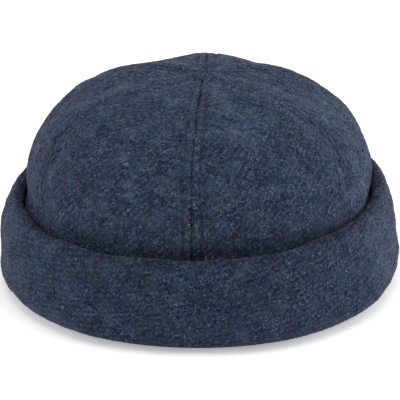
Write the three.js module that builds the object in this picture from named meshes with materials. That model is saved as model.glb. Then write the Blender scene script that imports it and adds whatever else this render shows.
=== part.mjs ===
// A docker beanie: a close brimless cap of thick felted wool cloth. Six gores meet at the top of a
// low crown, and a strip of the same cloth, folded double, is turned up round the rim as a cuff.
// Millimetres, +Z up, the front towards -Y, the origin under the middle of the rim on the surface
// that the cap rests on.
import * as THREE from "three";

// Driving dimensions
const CLOTH = 2.2; // one layer of felted wool
const SEAM_GAP = 0.3; // between two pieces that are sewn together
const RIM_STRETCH = 14; // how much longer the rim is than wide, from the middle outwards
const CORNER_FULLNESS = 0.02; // how much the plan stands out from an ellipse between its axes
const TOP_SHIFT = 2.2; // the gores meet a little to the wearer's left of the middle

// The crown's outer face from hem to top. Half widths and half lengths are taken from the middle.
const HEM = CLOTH + 2 * SEAM_GAP; // the crown's edge stands on the cuff's inner lip
const CROWN_ROWS = [
  { height: HEM, halfWidth: 84.2, halfLength: 98.2 },
  { height: 12, halfWidth: 83.0, halfLength: 96.4 },
  { height: 24, halfWidth: 80.0, halfLength: 93.0 },
  { height: 36, halfWidth: 78.2, halfLength: 90.2 },
  { height: 47, halfWidth: 79.8, halfLength: 90.5 },
  { height: 60.6, halfWidth: 77.1, halfLength: 87.4 },
  { height: 72.4, halfWidth: 69.8, halfLength: 79.1 },
  { height: 81.2, halfWidth: 59.5, halfLength: 67.5 },
  { height: 86.6, halfWidth: 47.8, halfLength: 54.2 },
  { height: 90.0, halfWidth: 36.4, halfLength: 41.3 },
  { height: 92.3, halfWidth: 26.3, halfLength: 29.8 },
  { height: 93.6, halfWidth: 16.0, halfLength: 18.1 },
  { height: 93.8, halfWidth: 0.8, halfLength: 0.8 },
];

// Six gores, each between two seams. The first seam runs down the middle of the front.
const GORE_NAMES = [
  "gore_front_left",
  "gore_side_left",
  "gore_back_left",
  "gore_back_right",
  "gore_side_right",
  "gore_front_right",
];
const GORE_FLATNESS = 1.1; // a flat gore lies this far inside a round crown, and its seams outside
const SEAM_SINK = 0.9; // how far a seam lies below the gores beside it
const SEAM_SINK_REACH = 7; // how far from the seam the sinking spreads
const GORES_SHOW = { from: 50, fully: 80 }; // heights between which both of them begin
const TOP_ROUND = 30; // within this distance of where the gores meet, both fade away
const RIDGE = 0.9; // the front and back seams stand up along the top of the crown
const RIDGE_REACH = 11; // half the ridge's width
const RIDGE_SHOWS = { from: 70, fully: 92 }; // heights between which the ridge begins
// Where the handled cloth has settled: how far it stands out, or in, round a place on the crown.
const SETTLED = [
  { place: "left shoulder", x: 58, y: 14, height: 84, reach: 29, out: -1.9 },
  { place: "top, beside the seam", x: 24, y: 34, height: 90, reach: 15, out: 1.0 },
];
const GORE_COLUMNS = 8;
const CROWN_LEVELS = 24;

// The middle of the cuff's cloth, as it lies at the side of the cap: along the bottom from the lip
// under the crown's hem, up the outside, over the fold at the top and down the inside again.
const CUFF_PATH = [
  { out: 81.4, height: CLOTH / 2 },
  { out: 84.0, height: CLOTH / 2 },
  { out: 86.8, height: 2.0 },
  { out: 89.4, height: 3.9 },
  { out: 91.1, height: 6.8 },
  { out: 91.8, height: 10.6 },
  { out: 91.5, height: 15.0 },
  { out: 90.6, height: 20.0 },
  { out: 89.6, height: 26.0 },
  { out: 88.4, height: 31.0 },
  { out: 87.0, height: 35.0 },
  { out: 85.6, height: 37.7 },
  { out: 84.5, height: 39.3 },
  { out: 83.1, height: 40.0 },
  { out: 81.7, height: 39.2 },
  { out: 81.0, height: 37.1 },
  { out: 81.6, height: 32.0 },
  { out: 83.1, height: 26.0 },
  { out: 84.8, height: 19.0 },
  { out: 86.1, height: 12.0 },
  { out: 86.5, height: 8.0 },
  { out: 86.5, height: 5.2 },
];
const CUFF_SEGMENTS = 56; // steps round the rim
const CUFF_BULGE = 8; // the height at which the cuff stands out furthest
const PRESSED_FLAT = 0.12; // what lies lower than this is flat on the surface
// The cuff isn't turned up evenly: how much higher its top edge is, by cosine and sine of the
// angle round the rim.
const CUFF_RISE = { left: 1.8, sides: 0.6, back: 0.8 };
const CUFF_LEAN = 0.7; // its top edge leans to the wearer's right

// The point at an angle on a plan that is an ellipse, a little fuller between its axes.
function planPoint(angle, halfWidth, halfLength) {
  const fullness = 1 + CORNER_FULLNESS * Math.sin(2 * angle) ** 2;
  const x = halfWidth * fullness * Math.cos(angle);
  const y = halfLength * fullness * Math.sin(angle);
  return new THREE.Vector2(x, y);
}

const crownMeridian = new THREE.CatmullRomCurve3(
  CROWN_ROWS.map((row) => new THREE.Vector3(row.halfWidth, row.halfLength, row.height)),
);
const HEM_HALF_WIDTH = CROWN_ROWS[0].halfWidth;

// The crown's smooth outer face, without its seams. along is 0 at the hem and 1 at the top.
function crownFace(angle, along) {
  const size = crownMeridian.getPointAt(along);
  const plan = planPoint(angle, size.x, size.y);
  const nearTop = (1 - size.x / HEM_HALF_WIDTH) ** 2;
  return new THREE.Vector3(plan.x + TOP_SHIFT * nearTop, plan.y, size.z);
}

function crownNormal(angle, along) {
  const step = 1e-3;
  const low = Math.min(along, 1 - step);
  const round = crownFace(angle + step, low).sub(crownFace(angle - step, low));
  const up = crownFace(angle, low + step).sub(crownFace(angle, Math.max(low - step, 0)));
  return round.cross(up).normalize();
}

// The angle of a seam. The seams keep their directions from the point where they meet, so they
// reach the rim a little to the wearer's left as well.
function seamAngle(number) {
  const even = (number / GORE_NAMES.length) * 2 * Math.PI - Math.PI / 2;
  return even - (TOP_SHIFT / HEM_HALF_WIDTH) * Math.sin(even);
}

// How far the cloth stands out from the smooth face, at a share of the way from one seam to the
// next: flat in the middle of a gore, sunk close to a seam, and raised along the two seams that run
// over the top from front to back.
function goreRelief(angle, along, share, seam) {
  const face = crownFace(angle, along);
  const fromTop = Math.hypot(face.x - TOP_SHIFT, face.y);
  const turned = THREE.MathUtils.smoothstep(face.z, GORES_SHOW.from, GORES_SHOW.fully);
  const shown = turned * Math.min(fromTop / TOP_ROUND, 1);
  const facet = GORE_FLATNESS * shown * Math.cos(2 * Math.PI * share);
  const reach = face.distanceTo(crownFace(seam, along)) / SEAM_SINK_REACH;
  const sink = SEAM_SINK * shown * Math.exp(-(reach ** 2));
  const aside = (face.x - TOP_SHIFT) / RIDGE_REACH;
  const rising = THREE.MathUtils.smoothstep(face.z, RIDGE_SHOWS.from, RIDGE_SHOWS.fully);
  const ridge = RIDGE * rising * Math.exp(-(aside ** 2));
  let settled = 0;
  for (const { x, y, height, reach: wide, out } of SETTLED) {
    const away = face.distanceTo(new THREE.Vector3(x, y, height)) / wide;
    settled += out * Math.exp(-(away ** 2));
  }
  return facet - sink + ridge + settled;
}

// A closed body from two grids of points, an outer and an inner face of the same cloth.
// outer(i, j) and inner(i, j) give the points, i across and j along.
function clothBody(across, along, outer, inner) {
  const positions = [];
  const index = [];
  const stride = along + 1;
  const layer = (across + 1) * stride;
  for (const face of [outer, inner])
    for (let i = 0; i <= across; i++)
      for (let j = 0; j <= along; j++) positions.push(...face(i, j).toArray());
  const at = (side, i, j) => side * layer + i * stride + j;
  const quad = (a, b, c, d) => index.push(a, b, c, a, c, d);
  for (let i = 0; i < across; i++)
    for (let j = 0; j < along; j++) {
      quad(at(0, i, j), at(0, i + 1, j), at(0, i + 1, j + 1), at(0, i, j + 1));
      quad(at(1, i, j), at(1, i, j + 1), at(1, i + 1, j + 1), at(1, i + 1, j));
    }
  for (let i = 0; i < across; i++) {
    quad(at(0, i, 0), at(1, i, 0), at(1, i + 1, 0), at(0, i + 1, 0));
    quad(at(0, i, along), at(0, i + 1, along), at(1, i + 1, along), at(1, i, along));
  }
  for (let j = 0; j < along; j++) {
    quad(at(0, 0, j), at(0, 0, j + 1), at(1, 0, j + 1), at(1, 0, j));
    quad(at(0, across, j), at(1, across, j), at(1, across, j + 1), at(0, across, j + 1));
  }
  const geometry = new THREE.BufferGeometry();
  geometry.setAttribute("position", new THREE.Float32BufferAttribute(positions, 3));
  geometry.setIndex(index);
  geometry.computeVertexNormals();
  return geometry;
}

// One gore: a tapering panel between two seams, from the hem to the top of the crown.
function goreGeometry(number) {
  const first = seamAngle(number);
  const last = seamAngle(number + 1);
  const point = (i, j, depth) => {
    const along = j / CROWN_LEVELS;
    const trim = SEAM_GAP / 2 / crownMeridian.getPointAt(along).x;
    const share = (1 - Math.cos((Math.PI * i) / GORE_COLUMNS)) / 2; // closer columns at the seams
    const angle = THREE.MathUtils.lerp(first + trim, last - trim, share);
    const relief = goreRelief(angle, along, share, share < 0.5 ? first : last);
    return crownFace(angle, along).addScaledVector(crownNormal(angle, along), relief - depth);
  };
  return clothBody(
    GORE_COLUMNS,
    CROWN_LEVELS,
    (i, j) => point(i, j, 0),
    (i, j) => point(i, j, CLOTH),
  );
}

// The cuff's section as a closed loop: the cloth's path moved half its thickness to either side.
function cuffSection() {
  const path = new THREE.CatmullRomCurve3(
    CUFF_PATH.map((point) => new THREE.Vector3(point.out, point.height, 0)),
  );
  const under = [];
  const over = [];
  CUFF_PATH.forEach((point, k) => {
    const along = path.getTangent(k / (CUFF_PATH.length - 1));
    const aside = new THREE.Vector2(along.y, -along.x).multiplyScalar(CLOTH / 2);
    under.push(new THREE.Vector2(point.out, point.height).add(aside));
    over.unshift(new THREE.Vector2(point.out, point.height).sub(aside));
  });
  return [...under, ...over];
}

// The cuff: the section turned once round the rim's plan, pressed flat where it rests.
function cuffGeometry() {
  const section = cuffSection();
  const top = Math.max(...section.map((point) => point.y));
  const geometry = new THREE.LatheGeometry([...section, section[0]], CUFF_SEGMENTS);
  geometry.rotateX(Math.PI / 2); // the lathe turns about Y
  const position = geometry.getAttribute("position");
  for (let k = 0; k < position.count; k++) {
    const angle = Math.atan2(position.getY(k), position.getX(k));
    const out = Math.hypot(position.getX(k), position.getY(k));
    const height = position.getZ(k);
    const plan = planPoint(angle, out, out + RIM_STRETCH);
    const lift =
      CUFF_RISE.left * Math.cos(angle) +
      CUFF_RISE.sides * Math.cos(2 * angle) +
      CUFF_RISE.back * Math.sin(angle);
    const turnedUp = THREE.MathUtils.smoothstep(height, CUFF_BULGE, top);
    const raised = height < PRESSED_FLAT ? 0 : height + lift * turnedUp;
    position.setXYZ(k, plan.x - CUFF_LEAN * turnedUp, plan.y, raised);
  }
  geometry.computeVertexNormals();
  return geometry;
}

const wool = new THREE.MeshStandardMaterial({
  name: "felted_wool",
  color: 0x2c3345,
  roughness: 0.95,
  metalness: 0,
});

const beanie = new THREE.Group();
beanie.name = "docker_beanie";

GORE_NAMES.forEach((name, number) => {
  const gore = new THREE.Mesh(goreGeometry(number), wool.clone());
  gore.name = name;
  beanie.add(gore);
});

const cuff = new THREE.Mesh(cuffGeometry(), wool.clone());
cuff.name = "cuff";
beanie.add(cuff);

export default beanie;
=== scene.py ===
# %% [markdown]
# A docker beanie is a close cap with no brim. Six tapering panels of wool cloth, the gores, meet at
# the top of a low crown, and a strip of the same cloth, folded double, is turned up round the rim as
# a cuff. The cloth is a thick twill that was felted after weaving: its fibres are locked into a soft
# nap, and only a faint slanting rib still tells of the weave below.
#
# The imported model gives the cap's size and place. It is loaded first and stays as it is: everything
# made here is a finer surface laid where its plain solid lies.

# %% The fixed frame
import math

import bpy
import numpy as np
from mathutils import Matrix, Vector


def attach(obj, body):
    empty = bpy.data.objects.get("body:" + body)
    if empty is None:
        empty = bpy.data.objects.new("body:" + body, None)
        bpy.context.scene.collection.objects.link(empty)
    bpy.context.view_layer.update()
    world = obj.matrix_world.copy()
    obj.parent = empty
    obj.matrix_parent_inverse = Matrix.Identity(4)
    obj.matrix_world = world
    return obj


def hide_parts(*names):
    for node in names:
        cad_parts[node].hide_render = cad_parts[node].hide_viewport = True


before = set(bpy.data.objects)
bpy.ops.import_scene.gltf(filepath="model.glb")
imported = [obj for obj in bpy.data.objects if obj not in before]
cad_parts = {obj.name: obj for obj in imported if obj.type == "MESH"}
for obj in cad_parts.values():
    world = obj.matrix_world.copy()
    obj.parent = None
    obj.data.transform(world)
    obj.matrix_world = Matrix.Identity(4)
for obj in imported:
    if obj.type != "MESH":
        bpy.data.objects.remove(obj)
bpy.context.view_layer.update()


# %% [markdown]
# Millimetres keep the numbers readable, and one factor turns them into Blender's metres at the end.
# A short table holds the crown's profile and another the path of the cuff's cloth. Both are real
# shapes: half widths and heights that a ruler laid on the cap would give. The solid model was drawn
# from the same tables, apart from the crown's last row. There the gores nearly close to a point.

# %% Sizes of the cap
MM = 0.001
CLOTH = 2.2  # one layer of the felted wool
RIM_STRETCH = 14  # how much longer the rim is than wide, from the middle outwards
CORNER_FULLNESS = 0.02  # how much the plan stands out from an ellipse between its axes
TOP_SHIFT = 2.2  # the gores meet a little to the wearer's left of the middle

# The crown's outer face, from its hem up: height, half width, half length.
CROWN_ROWS = [
    (2.8, 84.2, 98.2),
    (12.0, 83.0, 96.4),
    (24.0, 80.0, 93.0),
    (36.0, 78.2, 90.2),
    (47.0, 79.8, 90.5),
    (60.6, 77.1, 87.4),
    (72.4, 69.8, 79.1),
    (81.2, 59.5, 67.5),
    (86.6, 47.8, 54.2),
    (90.0, 36.4, 41.3),
    (92.3, 26.3, 29.8),
    (93.6, 16.0, 18.1),
    (93.8, 0.2, 0.2),
]
HEM_HALF_WIDTH = CROWN_ROWS[0][1]

# The middle of the cuff's cloth: from the lip under the crown's hem, up the outside, over the fold
# and down the inside again. Distance from the middle of the cap, and height.
CUFF_PATH = [
    (81.4, 1.1),
    (84.0, 1.1),
    (86.8, 2.0),
    (89.4, 3.9),
    (91.1, 6.8),
    (91.8, 10.6),
    (91.5, 15.0),
    (90.6, 20.0),
    (89.6, 26.0),
    (88.4, 31.0),
    (87.0, 35.0),
    (85.6, 37.7),
    (84.5, 39.3),
    (83.1, 40.0),
    (81.7, 39.2),
    (81.0, 37.1),
    (81.6, 32.0),
    (83.1, 26.0),
    (84.8, 19.0),
    (86.1, 12.0),
    (86.5, 8.0),
    (86.5, 5.2),
]

# %% [markdown]
# A smooth line through a few points is the base of both shapes. Each stretch between two points is a
# cubic that leaves one point and reaches the next in the direction of their neighbours. Blender's own
# curve objects could do it, but numpy gives the points by distance along the line, which is what
# rows of cloth and rows of stitches are spaced by.

# %% Smooth lines by distance
LINE_POINTS = 3001  # how finely the length of a line is measured


def run_length(points):
    """The distance of each point of a line from its first one, along the line."""
    return np.r_[0, np.cumsum(np.linalg.norm(np.diff(points, axis=0), axis=1))]


def smooth_line(points):
    points = np.array(points, float)
    chord = run_length(points)
    slope = np.gradient(points, chord, axis=0)

    def at(place):
        k = np.clip(np.searchsorted(chord, place, side="right") - 1, 0, len(chord) - 2)
        step = chord[k + 1] - chord[k]
        s = ((place - chord[k]) / step)[..., None]
        step = step[..., None]
        leave = (1 + 2 * s) * (1 - s) ** 2 * points[k] + s * (1 - s) ** 2 * step * slope[k]
        arrive = s**2 * (3 - 2 * s) * points[k + 1] + s**2 * (s - 1) * step * slope[k + 1]
        return leave + arrive

    fine = np.linspace(0, chord[-1], LINE_POINTS)
    length = run_length(at(fine))

    def by_share(share):
        return at(np.interp(np.asarray(share, float) * length[-1], length, fine))

    return by_share, length[-1]


crown_profile, _ = smooth_line([(w, d, h) for h, w, d in CROWN_ROWS])
cuff_line, cuff_length = smooth_line(CUFF_PATH)
print(f"the cuff's strip is {cuff_length:.0f} mm deep")

# %% [markdown]
# Seen from above the cap is nearly an ellipse. The crown's face is that ellipse at every height, and
# the direction that the cloth faces is found from two short steps, one round the cap and one up it.
# Two small curves shape nearly everything that is added to this face: a step that rises smoothly
# between two values, and a hump that fades on both sides of its middle.

# %% The crown's smooth face
SHORT_STEP = 1e-3


def smoothstep(value, low, high):
    share = np.clip((value - low) / (high - low), 0, 1)
    return share * share * (3 - 2 * share)


def hump(away, reach):
    """1 in the middle, about a third at the reach, and nearly nothing at twice the reach."""
    return np.exp(-((away / reach) ** 2))


def plan_point(angle, half_width, half_length):
    fullness = 1 + CORNER_FULLNESS * np.sin(2 * angle) ** 2
    return half_width * fullness * np.cos(angle), half_length * fullness * np.sin(angle)


def crown_face(angle, along):
    angle, along = np.broadcast_arrays(angle, along)
    size = crown_profile(along)
    x, y = plan_point(angle, size[..., 0], size[..., 1])
    near_top = (1 - size[..., 0] / HEM_HALF_WIDTH) ** 2
    return np.stack([x + TOP_SHIFT * near_top, y, size[..., 2]], axis=-1)


def crown_normal(angle, along):
    along = np.minimum(along, 1 - SHORT_STEP)
    across = crown_face(angle + SHORT_STEP, along) - crown_face(angle - SHORT_STEP, along)
    up = crown_face(angle, along + SHORT_STEP) - crown_face(angle, np.maximum(along - SHORT_STEP, 0))
    normal = np.cross(across, up)
    return normal / np.linalg.norm(normal, axis=-1, keepdims=True)


# %% [markdown]
# Cloth is never quite even. Many small plane waves, each in its own direction, add up to soft bumps
# of one chosen width. They depend on the place in space alone, so two pieces that are sewn together
# rise and fall together, and fixed seeds give the same cap at every run.

# %% Unevenness
WAVES = 18
WAVE_WIDTHS = (0.75, 1.5)  # from the narrowest wave to the widest, beside the width asked for


def uneven(points, width, seed):
    random = np.random.default_rng(seed)
    total = 0
    for _ in range(WAVES):
        direction = random.normal(size=3)
        direction *= 2 * math.pi / (np.linalg.norm(direction) * width * random.uniform(*WAVE_WIDTHS))
        total = total + np.sin(points @ direction + random.uniform(0, 2 * math.pi))
    return total * math.sqrt(2 / WAVES)


def bumps(points, kinds):
    """Several kinds of bumps together. Each kind is a height, a width and a seed."""
    return sum(height * uneven(points, width, seed) for height, width, seed in kinds)


# %% [markdown]
# Every sheet of cloth here is a closed body: an outer face, an inner face and the edges between
# them, all from one grid of points. Filling Blender's arrays directly takes a fraction of the time
# that adding faces one by one would. Marks are numbers kept at the points, for the materials to read.

# %% Meshes from grids
def mesh_piece(name, points, faces, marks=None):
    faces = np.asarray(faces)
    count, corners = faces.shape
    mesh = bpy.data.meshes.new(name)
    mesh.vertices.add(len(points))
    mesh.vertices.foreach_set("co", (np.asarray(points) * MM).astype(np.float32).ravel())
    mesh.loops.add(count * corners)
    mesh.loops.foreach_set("vertex_index", faces.astype(np.int32).ravel())
    mesh.polygons.add(count)
    mesh.polygons.foreach_set("loop_start", np.arange(0, count * corners, corners, dtype=np.int32))
    mesh.polygons.foreach_set("use_smooth", np.ones(count, bool))
    mesh.update(calc_edges=True)
    for mark, values in (marks or {}).items():
        values = np.asarray(values, np.float32)
        if values.ndim == 2:
            layer = mesh.attributes.new(mark, "FLOAT_VECTOR", "POINT")
            layer.data.foreach_set("vector", np.pad(values, ((0, 0), (0, 1))).ravel())
        else:
            layer = mesh.attributes.new(mark, "FLOAT", "POINT")
            layer.data.foreach_set("value", values)
    mesh.validate()
    piece = bpy.data.objects.new(name, mesh)
    bpy.context.scene.collection.objects.link(piece)
    print(f"{name}: {len(points)} points, {count * (corners - 2)} triangles")
    return piece


def grid_faces(rows, columns, wrap_rows=False, wrap_columns=False):
    index = np.arange(rows * columns).reshape(rows, columns)
    if wrap_rows:
        index = np.vstack([index, index[:1]])
    if wrap_columns:
        index = np.hstack([index, index[:, :1]])
    corners = [index[:-1, :-1], index[1:, :-1], index[1:, 1:], index[:-1, 1:]]
    return np.stack([c.ravel() for c in corners], axis=1)


# %% [markdown]
# The seams are what make a gored crown look sewn. Two gores are joined face to face, and a sewn seam
# wanders a little off the line of the cut. So a seam is a line whose angle changes as it goes up, and
# the gores on both sides of it end on that same line.

# %% Seam lines
# The gores, counted from the seam down the middle of the front towards the wearer's left.
GORES = [
    "gore_front_left",
    "gore_side_left",
    "gore_back_left",
    "gore_back_right",
    "gore_side_right",
    "gore_front_right",
]
SEAM_WANDER = 0.3
FRONT_SEAM_ASIDE = -1.2  # it was sewn this far to the wearer's right


def seam_angle(number):
    even = number / len(GORES) * 2 * math.pi - math.pi / 2
    return even - TOP_SHIFT / HEM_HALF_WIDTH * math.sin(even)


def seam_line(number, along):
    """The angle of a seam at each height, as it was sewn."""
    around = number % len(GORES)
    # Two waves of different lengths. Each seam begins at another place on them.
    wander = np.sin(11 * along + 2 * around) + 0.6 * np.sin(23 * along + 3 * around + 1)
    aside = SEAM_WANDER * wander + FRONT_SEAM_ASIDE * (around == 0)
    return seam_angle(number) + aside / HEM_HALF_WIDTH


# %% [markdown]
# A gore's grid needs close columns only beside its seams. They are placed by their distance from the
# seam and not by their share of the gore, so the groove and the stitching are equally wide all the
# way up, until the gore is too narrow for them and they draw together. Few rows lie behind the cuff.

# %% Grid of a gore
TOPSTITCH = 3.8  # from the seam to either row of topstitching
ALLOWANCE = 6.8  # width of the spare cloth pressed open on the inside
SEWN_GAP = 0.02  # half the hairline between two gores
MIDDLE_COLUMNS = 42
HIDDEN_ROWS = 10  # behind the cuff
SHOWN_ROWS = 98
HIDDEN_SHARE = 0.21
ACROSS_POINTS = 161  # how finely a gore is measured across

# In the groove, up to the stitching, under it, past it, and at the raw edge inside.
edge_columns = np.concatenate([
    np.linspace(SEWN_GAP, 1.0, 6),
    np.linspace(1.5, TOPSTITCH - 1.0, 3),
    TOPSTITCH + np.linspace(-0.6, 0.6, 5),
    np.linspace(TOPSTITCH + 1.1, ALLOWANCE - 0.4, 3),
    np.linspace(ALLOWANCE + 0.1, ALLOWANCE + 1.6, 3),
])
NARROW = 2.5 * edge_columns[-1]  # the width at which the edge columns begin to draw together
crown_along = np.concatenate([
    np.linspace(0, HIDDEN_SHARE, HIDDEN_ROWS, endpoint=False),
    np.linspace(HIDDEN_SHARE, 1, SHOWN_ROWS),
])


def gore_grid(number, along):
    """For every column and row: angle, distance from the first seam, and width of the gore."""
    first, last = seam_line(number, along), seam_line(number + 1, along)
    fine = first + (last - first) * np.linspace(0, 1, ACROSS_POINTS)[:, None]
    level = crown_face(fine, along[None, :])
    steps = np.linalg.norm(np.diff(level, axis=0), axis=-1)
    length = np.vstack([np.zeros(len(along)), np.cumsum(steps, axis=0)])
    width = length[-1]
    near = edge_columns[:, None] * np.minimum(1, width / NARROW)
    middle = np.linspace(0, 1, MIDDLE_COLUMNS + 2)[1:-1, None]
    between = near[-1] + (width - 2 * near[-1]) * middle
    place = np.concatenate([near, between, width - near[::-1]])
    angle = np.stack([np.interp(place[:, j], length[:, j], fine[:, j]) for j in range(len(along))], 1)
    return angle, place, np.broadcast_to(width, place.shape)


def gore_height(number, along):
    """Distance up the middle of a gore from its hem, as the flat panel is cut."""
    middle = (seam_angle(number) + seam_angle(number + 1)) / 2
    return run_length(crown_face(middle, along))


def gore_share(number, angle):
    first, last = seam_angle(number), seam_angle(number + 1)
    return (angle - first) / (last - first)


# %% [markdown]
# Three things move the cloth off the smooth face. The first is the cut: a gore is flat across, so its
# seams stand out, and the front and back seams carry a low ridge over the top. The second is
# handling: a few soft hollows, a swelling where the crown leans against the cuff's fold, and small
# unevenness. Sculpting could do it, but a sum of named forms can be set one by one.

# %% Forms from the cut and from handling
GORE_FLATNESS = 1.1  # a flat gore lies this far inside a round crown, and its seams outside
SEAM_SINK = 0.9
SEAM_SINK_REACH = 7
GORES_SHOW = (50, 80)  # heights between which the gores begin to show
TOP_ROUND = 30  # within this distance of where the gores meet, they fade again
RIDGE = 0.9
RIDGE_REACH = 11
RIDGE_SHOWS = (70, 92)

# Where the cloth has settled: a place on the crown, its reach, and how far it stands out.
SETTLED = [
    ("left shoulder", (58, 14, 84), 29, -1.9),
    ("top, beside the seam", (24, 34, 90), 15, 1.0),
    ("back, left of the middle", (43, 43, 83), 15, -1.5),
    ("back, right of the middle", (-36, 39, 86), 12, -1.1),
    ("back right, inside the cuff", (-70, 52, 33), 14, -0.8),
]
FOLD_HEIGHT = 32  # inside the cuff, about this height, the crown swells against the fold
FOLD_REACH = 6
FOLD_SWELL = 1.3
FOLD_SWELL_RIGHT = 1.5  # more on the wearer's right, where the cuff leans away
RIGHT_BEGINS = (0.2, 0.9)  # as a share of the way from the middle to the right end
CROWN_BUMPS = [(0.32, 42, 1), (0.13, 14, 2), (0.035, 4.5, 3)]  # each a height, a width and a seed


def cut_form(face, distance, share):
    from_top = np.hypot(face[..., 0] - TOP_SHIFT, face[..., 1])
    shown = smoothstep(face[..., 2], *GORES_SHOW) * np.minimum(from_top / TOP_ROUND, 1)
    form = GORE_FLATNESS * shown * np.cos(2 * math.pi * share)
    form -= SEAM_SINK * shown * hump(distance, SEAM_SINK_REACH)
    ridge = smoothstep(face[..., 2], *RIDGE_SHOWS) * hump(face[..., 0] - TOP_SHIFT, RIDGE_REACH)
    return form + RIDGE * ridge


def settled_form(face):
    form = bumps(face, CROWN_BUMPS)
    for _, centre, reach, out in SETTLED:
        form += out * hump(np.linalg.norm(face - np.array(centre), axis=-1), reach)
    to_right = smoothstep(-face[..., 0] / HEM_HALF_WIDTH, *RIGHT_BEGINS)
    swell = FOLD_SWELL + FOLD_SWELL_RIGHT * to_right
    return form + swell * hump(face[..., 2] - FOLD_HEIGHT, FOLD_REACH)


# %% [markdown]
# The third is the sewing. The spare cloth is pressed open on the inside, and topstitching on either
# side holds it flat, so from the seam outwards the cloth rolls up out of a narrow groove, swells a
# little, and is pinched again under the stitches. The seam down the front shows as a thin dark line.
# The nap nearly closes over the two beside it, and those further back are left deeper.

# %% Forms from the sewing
MIDDLE_SEAMS = (0, 3)  # the front seam and the back seam
SEAM_DEPTHS = [1.0, 0.48, 0.9, 1.15, 0.9, 0.48]  # each seam's beside the front seam's, as counted
MIDDLE_OPENS = (0.5, 6)  # near the top the gores are narrow: a seam opens between these widths
SIDE_OPENS = (3, 20)
PULL = 0.8
PULL_CHANGE = 0.35  # the thread isn't pulled evenly all along a seam
PULL_CHANGE_WIDTH = 16
PULL_CHANGE_SEED = 7
ROLL_DEPTH = 0.65
ROLL_REACH = 0.6
PINCH_DEPTH = 0.4
PINCH_REACH = 0.8
PINCH_OPENS = (3, 12)
PINCH_STRENGTH = 1.6  # a seam that is pulled this many times less is still pinched fully
SWELL = 0.1
SWELL_REACH = 1.1


def seam_pull(number, share, width):
    """How tightly the nearer seam is pulled, and how it eases towards the top."""
    nearer = (number + (share > 0.5)) % len(GORES)
    middle = smoothstep(width, *MIDDLE_OPENS)
    side = smoothstep(width, *SIDE_OPENS)
    return np.array(SEAM_DEPTHS)[nearer] * np.where(np.isin(nearer, MIDDLE_SEAMS), middle, side)


def sewn_form(face, distance, width, pull):
    pull = pull * (PULL + PULL_CHANGE * uneven(face, PULL_CHANGE_WIDTH, PULL_CHANGE_SEED))
    pinched = smoothstep(width, *PINCH_OPENS) * np.minimum(1, PINCH_STRENGTH * pull)
    form = SWELL * pinched * hump(distance - TOPSTITCH / 2, SWELL_REACH)
    form -= ROLL_DEPTH * pull * hump(distance, ROLL_REACH)
    form -= PINCH_DEPTH * pinched * hump(distance - TOPSTITCH, PINCH_REACH)
    return form


# %% [markdown]
# On the inside the spare cloth shows as two flat strips beside each seam. It makes the gore thicker
# there, with a shallow valley along the seam, and ends in a raw edge. The inner face is the outer one
# moved in by the thickness, and it is cut level at the hem, where the crown stands on the cuff's lip.

# %% Two faces of a gore
GROUND = 0.25  # the cloth's ground lies this far below the tops of its nap
HEM_LEVEL = 2.6
SPARE_CLOTH = 1.5
SPARE_EDGE = 0.25  # half the width in which it falls off
SPARE_WIDTHS = (14, 26)  # the spare cloth fades out between these widths of the gore
SPARE_HEIGHTS = (4, 10)
VALLEY = 0.6
VALLEY_REACH = 0.9


def gore_depth(face, distance, width):
    spare = 1 - smoothstep(distance, ALLOWANCE - SPARE_EDGE, ALLOWANCE + SPARE_EDGE)
    spare *= smoothstep(width, *SPARE_WIDTHS) * smoothstep(face[..., 2], *SPARE_HEIGHTS)
    return CLOTH + SPARE_CLOTH * spare * (1 - VALLEY * hump(distance, VALLEY_REACH))


def gore_surface(number, angle, along, distance, width):
    """Points of the outer face and of the inner face, and the way they face."""
    face = crown_face(angle, along)
    normal = crown_normal(angle, along)
    share = gore_share(number, angle)
    relief = cut_form(face, distance, share) + settled_form(face) - GROUND
    relief += sewn_form(face, distance, width, seam_pull(number, share, width))
    depth = gore_depth(face, distance, width)
    inner = face + normal * (relief - depth)[..., None]
    inner[..., 2] = np.maximum(inner[..., 2], HEM_LEVEL)
    return face + normal * relief[..., None], inner, normal


# %% [markdown]
# Each gore is closed: the two faces are joined along the hem, along both seams and at the top. Two
# marks go with it for the wool's material. One is painted shade: the cloth and nap are darkened where
# the nap is pressed, in the groove, under the stitches and along the raw edges inside. The other is the
# place on the flat panel, so that the weave follows the cut of the cloth, as it does on a real gore.

# %% Closed gores
# Painted shade: how far the dark marks reach from the seam and the stitches, and how dark they are.
PAINTED_SHADE_REACH = 0.7
PINCH_PAINTED_SHADE = 0.85
RAW_EDGE_ASIDE = 0.2  # past the end of the spare cloth
RAW_EDGE_REACH = 0.45
INSIDE_PAINTED_SHADE = 2


def sheet_faces(columns, rows):
    """The faces of a closed sheet whose two grids of points follow each other."""
    out, back = np.arange(2 * columns * rows).reshape(2, columns, rows)

    def quads(*corners):
        return np.stack([corner.ravel() for corner in corners], axis=1)

    return np.vstack([
        quads(out[:-1, :-1], out[1:, :-1], out[1:, 1:], out[:-1, 1:]),
        quads(back[:-1, :-1], back[:-1, 1:], back[1:, 1:], back[1:, :-1]),
        quads(out[:-1, 0], back[:-1, 0], back[1:, 0], out[1:, 0]),
        quads(out[:-1, -1], out[1:, -1], back[1:, -1], back[:-1, -1]),
        quads(out[0, :-1], out[0, 1:], back[0, 1:], back[0, :-1]),
        quads(out[-1, :-1], back[-1, :-1], back[-1, 1:], out[-1, 1:]),
    ])


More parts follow.
